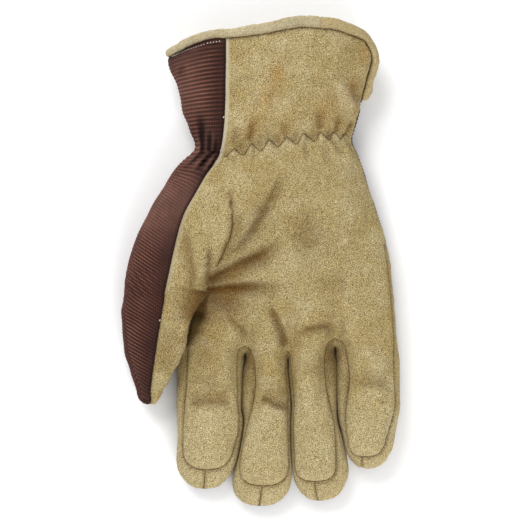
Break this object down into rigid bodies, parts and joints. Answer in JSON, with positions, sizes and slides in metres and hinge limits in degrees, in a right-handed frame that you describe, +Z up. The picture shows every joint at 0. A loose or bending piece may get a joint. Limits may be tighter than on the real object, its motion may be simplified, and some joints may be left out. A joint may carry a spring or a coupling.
{
  "type": "deerskin work glove",
  "caption": "Right-hand work glove with a suede leather palm, ribbed fabric back and elastic wrist, lying palm up.",
  "frame": {"origin": "middle of the glove's footprint, on the surface that it lies on", "axes": "+Z up out of the palm, +Y to the cuff, -X to the thumb"},
  "size_m": [0.1418, 0.2502, 0.0383],
  "materials": {
    "deerskin": "matte suede nap, mottled tan",
    "ribbed_fabric": "matte woven rib, brown",
    "binding_leather": "smooth matte tan, folded and stitched"
  },
  "bodies": {
    "root": {"palm_panel": "deerskin", "back_panel": "ribbed_fabric", "strip_index_outer": "deerskin", "fourchette_index_middle": "deerskin", "fourchette_middle_ring": "deerskin", "fourchette_ring_little": "deerskin", "strip_little_outer": "deerskin", "hem_binding": "binding_leather"}
  },
  "joints": []
}
